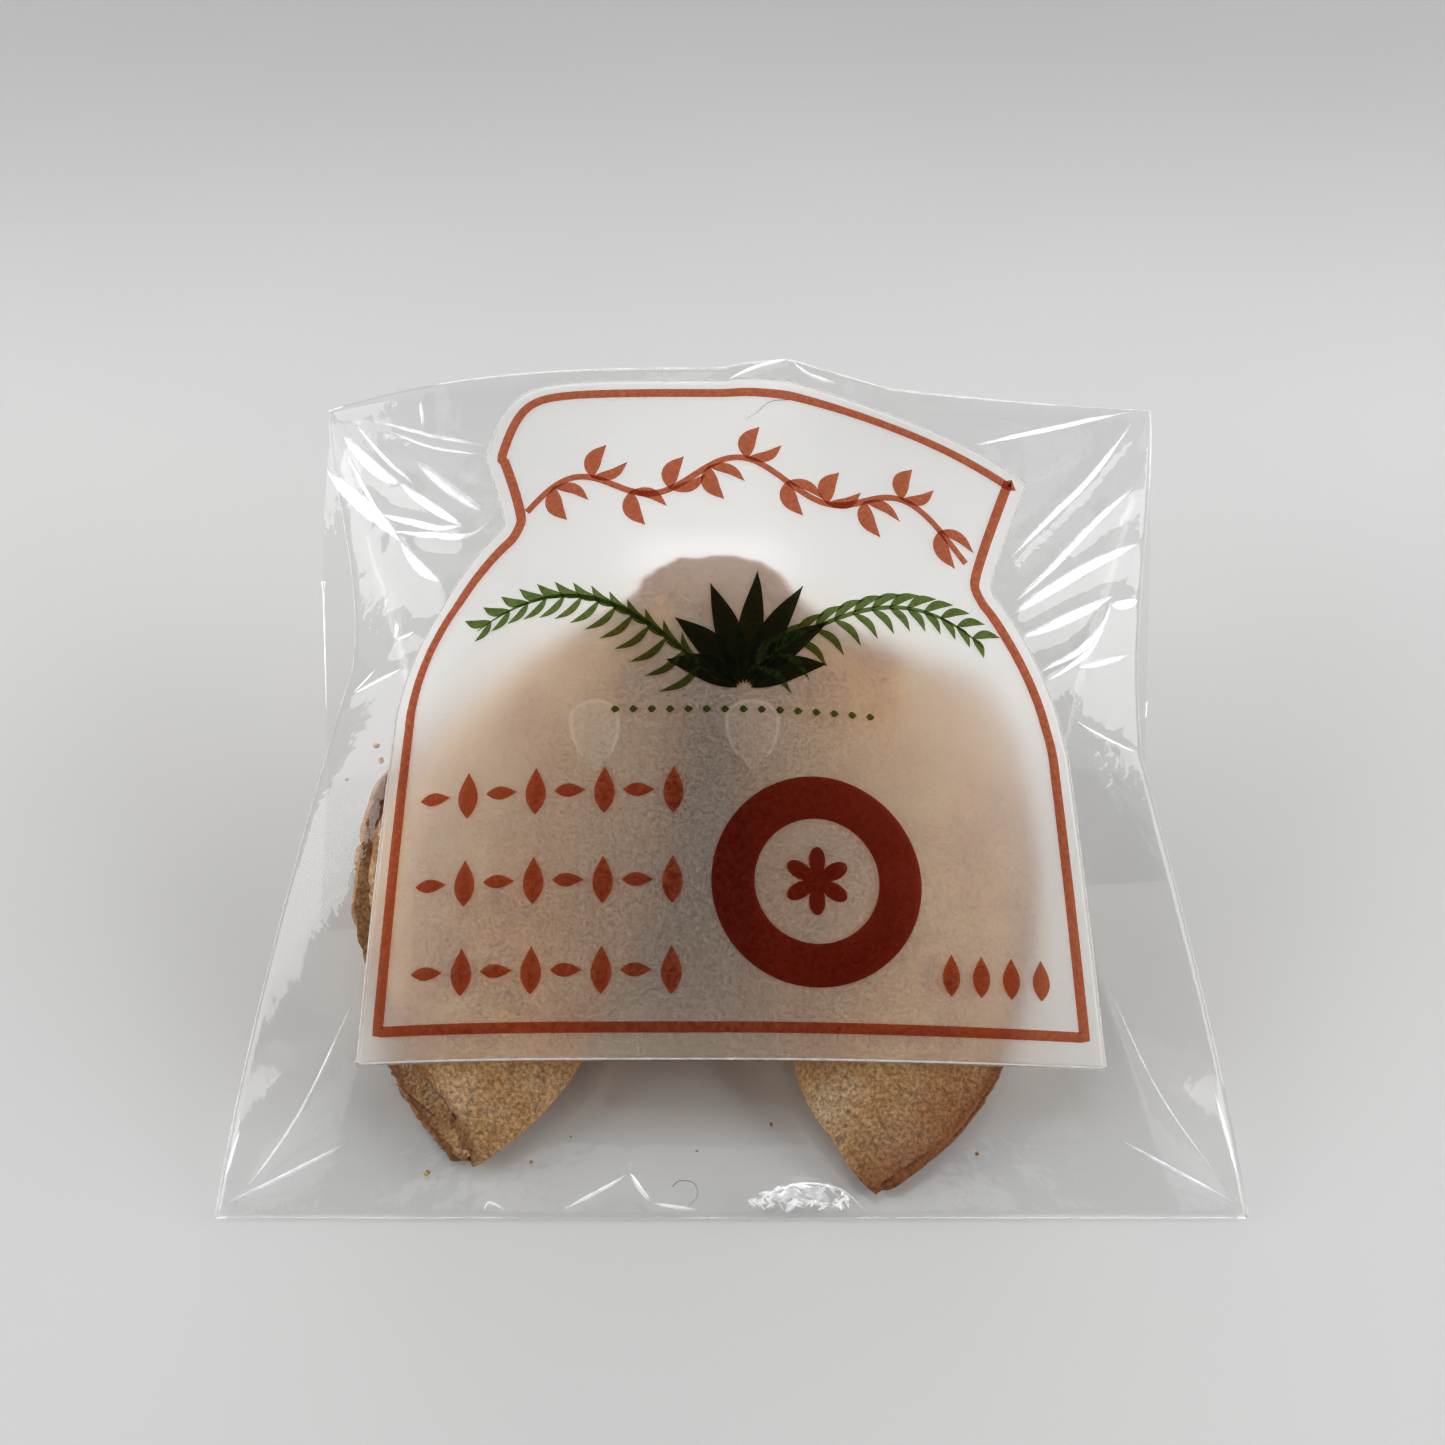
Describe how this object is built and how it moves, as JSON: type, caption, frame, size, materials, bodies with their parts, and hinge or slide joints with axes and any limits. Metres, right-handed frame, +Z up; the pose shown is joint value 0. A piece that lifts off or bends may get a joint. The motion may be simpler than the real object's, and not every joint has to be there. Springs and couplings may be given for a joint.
{
  "type": "fortune cookie",
  "caption": "Fortune cookie sealed in a clear film bag that lies with its top edge propped up, with a frosted label of a shouldered outline on the front.",
  "frame": {"origin": "centre of the bag's footprint, on the surface that it lies on", "axes": "+Z up, +X to the right along the foot seam, +Y from the foot seam towards the propped top edge"},
  "size_m": [0.102, 0.0862, 0.0438],
  "materials": {
    "clear_film": "clear glossy polypropylene film, creased at its corners",
    "frosted_label": "thin frosted adhesive sheet, half see-through, with rust and green print",
    "wafer": "baked wafer, matt and fine-grained, browned along its edges"
  },
  "bodies": {
    "root": {"bag": "clear_film", "flap": "clear_film", "label": "frosted_label"}
  },
  "joints": []
}
